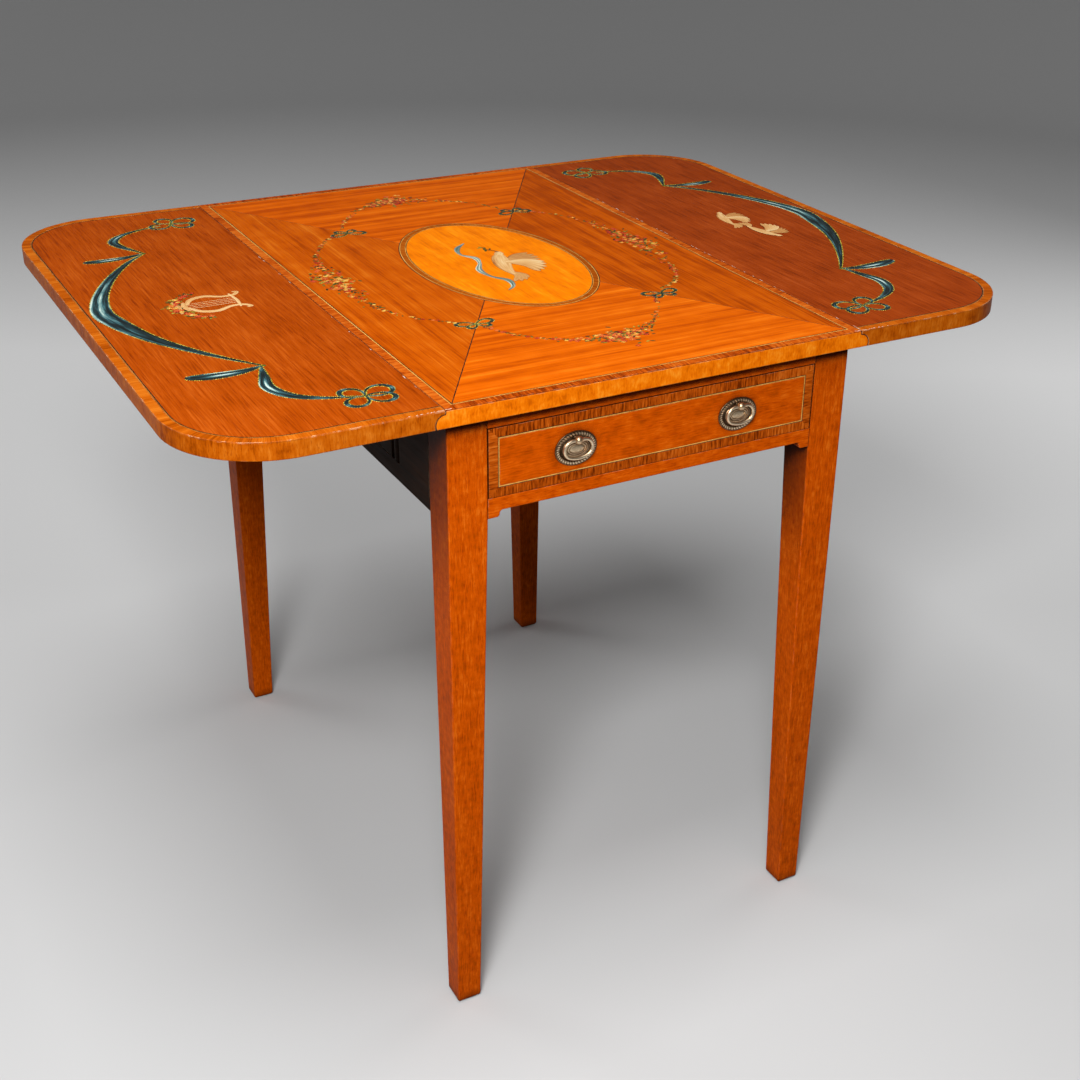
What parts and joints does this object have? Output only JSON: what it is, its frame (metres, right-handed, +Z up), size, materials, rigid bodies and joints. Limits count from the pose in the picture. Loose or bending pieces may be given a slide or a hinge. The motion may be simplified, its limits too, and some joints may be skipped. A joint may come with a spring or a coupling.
{
  "type": "pembroke table",
  "caption": "Drop-leaf occasional table with a veneered top on tapered square legs, rounded leaves on rule joints held up by wooden fly brackets, and an end drawer with oval ring handles",
  "frame": {"origin": "on the floor, under the middle of the fixed top", "axes": "X across both leaves, Y from the drawer end to the far end, Z up"},
  "size_m": [0.941, 0.744, 0.72],
  "materials": {
    "leg_mahogany": "polished straight-grained mahogany",
    "leaf_mahogany": "polished mahogany, grain along the leaf",
    "end_satinwood": "polished satinwood veneer, grain across the table",
    "side_satinwood": "polished satinwood veneer, grain along the table",
    "oval_satinwood": "polished mottled satinwood veneer",
    "drawer_satinwood": "polished satinwood veneer, grain along the drawer",
    "oval_band_wood": "polished purple-brown cross-grained band",
    "tulipwood": "polished reddish cross-grained banding",
    "banding_satinwood": "polished cross-grained satinwood banding",
    "boxwood": "polished pale boxwood line",
    "rail_mahogany": "polished mahogany",
    "fly_beech": "dark stained beech, unpolished",
    "inner_oak": "plain dry oak",
    "handle_brass": "aged stamped brass",
    "hinge_iron": "blackened wrought iron",
    "pin_steel": "drawn steel wire"
  },
  "bodies": {
    "frame": {"leg_front_left": "leg_mahogany", "leg_front_right": "leg_mahogany", "leg_back_left": "leg_mahogany", "leg_back_right": "leg_mahogany", "inner_rail_left": "inner_oak", "fly_rail_left": "fly_beech", "runner_left": "inner_oak", "inner_rail_right": "inner_oak", "fly_rail_right": "fly_beech", "runner_right": "inner_oak", "front_top_rail": "rail_mahogany", "front_drawer_rail": "rail_mahogany", "back_rail": "drawer_satinwood", "back_crossband": "tulipwood", "back_stringing": "boxwood", "fly_pins": "pin_steel", "drawer_kickers": "inner_oak", "drawer_stops": "inner_oak", "top_board": "rail_mahogany", "top_edging": "banding_satinwood", "top_crossband": "tulipwood", "top_stringing": "boxwood", "top_end_veneers": "end_satinwood", "top_side_veneers": "side_satinwood", "top_oval_stringing": "boxwood", "top_oval_band": "oval_band_wood", "top_oval_panel": "oval_satinwood", "top_hinge_plates": "hinge_iron", "hinge_pins": "pin_steel", "back_handle_plates": "handle_brass", "back_handle_posts": "handle_brass", "back_handle_nuts": "handle_brass"},
    "left_leaf": {"leaf_board_left": "leaf_mahogany", "leaf_banding_left": "banding_satinwood", "leaf_stringing_left": "boxwood", "leaf_hinge_plates_left": "hinge_iron"},
    "right_leaf": {"leaf_board_right": "leaf_mahogany", "leaf_banding_right": "banding_satinwood", "leaf_stringing_right": "boxwood", "leaf_hinge_plates_right": "hinge_iron"},
    "drawer": {"drawer_front": "drawer_satinwood", "drawer_crossband": "tulipwood", "drawer_stringing": "boxwood", "drawer_side_left": "inner_oak", "drawer_side_right": "inner_oak", "drawer_back": "inner_oak", "drawer_bottom": "inner_oak", "drawer_handle_plates": "handle_brass", "drawer_handle_posts": "handle_brass", "drawer_handle_nuts": "handle_brass"},
    "front_left_fly": {"fly_front_left": "fly_beech"},
    "front_right_fly": {"fly_front_right": "fly_beech"},
    "back_left_fly": {"fly_back_left": "fly_beech"},
    "back_right_fly": {"fly_back_right": "fly_beech"},
    "front_left_bail": {"bail_front_left": "handle_brass"},
    "front_right_bail": {"bail_front_right": "handle_brass"},
    "back_left_bail": {"bail_back_left": "handle_brass"},
    "back_right_bail": {"bail_back_right": "handle_brass"}
  },
  "joints": [
    {"name": "left_leaf_drop", "type": "hinge", "parent": "frame", "child": "left_leaf", "pos_m": [-0.236, 0, 0.706], "axis": [0, 1, 0], "range_deg": [-90, 0]},
    {"name": "right_leaf_drop", "type": "hinge", "parent": "frame", "child": "right_leaf", "pos_m": [0.236, 0, 0.706], "axis": [0, -1, 0], "range_deg": [-90, 0]},
    {"name": "drawer_slide", "type": "slide", "parent": "frame", "child": "drawer", "axis": [0, -1, 0], "range_m": [0, 0.35]},
    {"name": "front_left_fly_swing", "type": "hinge", "parent": "frame", "child": "front_left_fly", "pos_m": [-0.2205, -0.236, 0.658], "axis": [0, 0, 1], "range_deg": [0, 90]},
    {"name": "front_right_fly_swing", "type": "hinge", "parent": "frame", "child": "front_right_fly", "pos_m": [0.2205, -0.236, 0.658], "axis": [0, 0, -1], "range_deg": [0, 90]},
    {"name": "back_left_fly_swing", "type": "hinge", "parent": "frame", "child": "back_left_fly", "pos_m": [-0.2205, 0.236, 0.658], "axis": [0, 0, -1], "range_deg": [0, 90]},
    {"name": "back_right_fly_swing", "type": "hinge", "parent": "frame", "child": "back_right_fly", "pos_m": [0.2205, 0.236, 0.658], "axis": [0, 0, 1], "range_deg": [0, 90]},
    {"name": "front_left_bail_swing", "type": "hinge", "parent": "drawer", "child": "front_left_bail", "pos_m": [-0.094, -0.3657, 0.65995], "axis": [-1, 0, 0], "range_deg": [0, 90]},
    {"name": "front_right_bail_swing", "type": "hinge", "parent": "drawer", "child": "front_right_bail", "pos_m": [0.094, -0.3657, 0.65995], "axis": [-1, 0, 0], "range_deg": [0, 90]},
    {"name": "back_left_bail_swing", "type": "hinge", "parent": "frame", "child": "back_left_bail", "pos_m": [-0.094, 0.3657, 0.65995], "axis": [1, 0, 0], "range_deg": [0, 90]},
    {"name": "back_right_bail_swing", "type": "hinge", "parent": "frame", "child": "back_right_bail", "pos_m": [0.094, 0.3657, 0.65995], "axis": [1, 0, 0], "range_deg": [0, 90]}
  ]
}
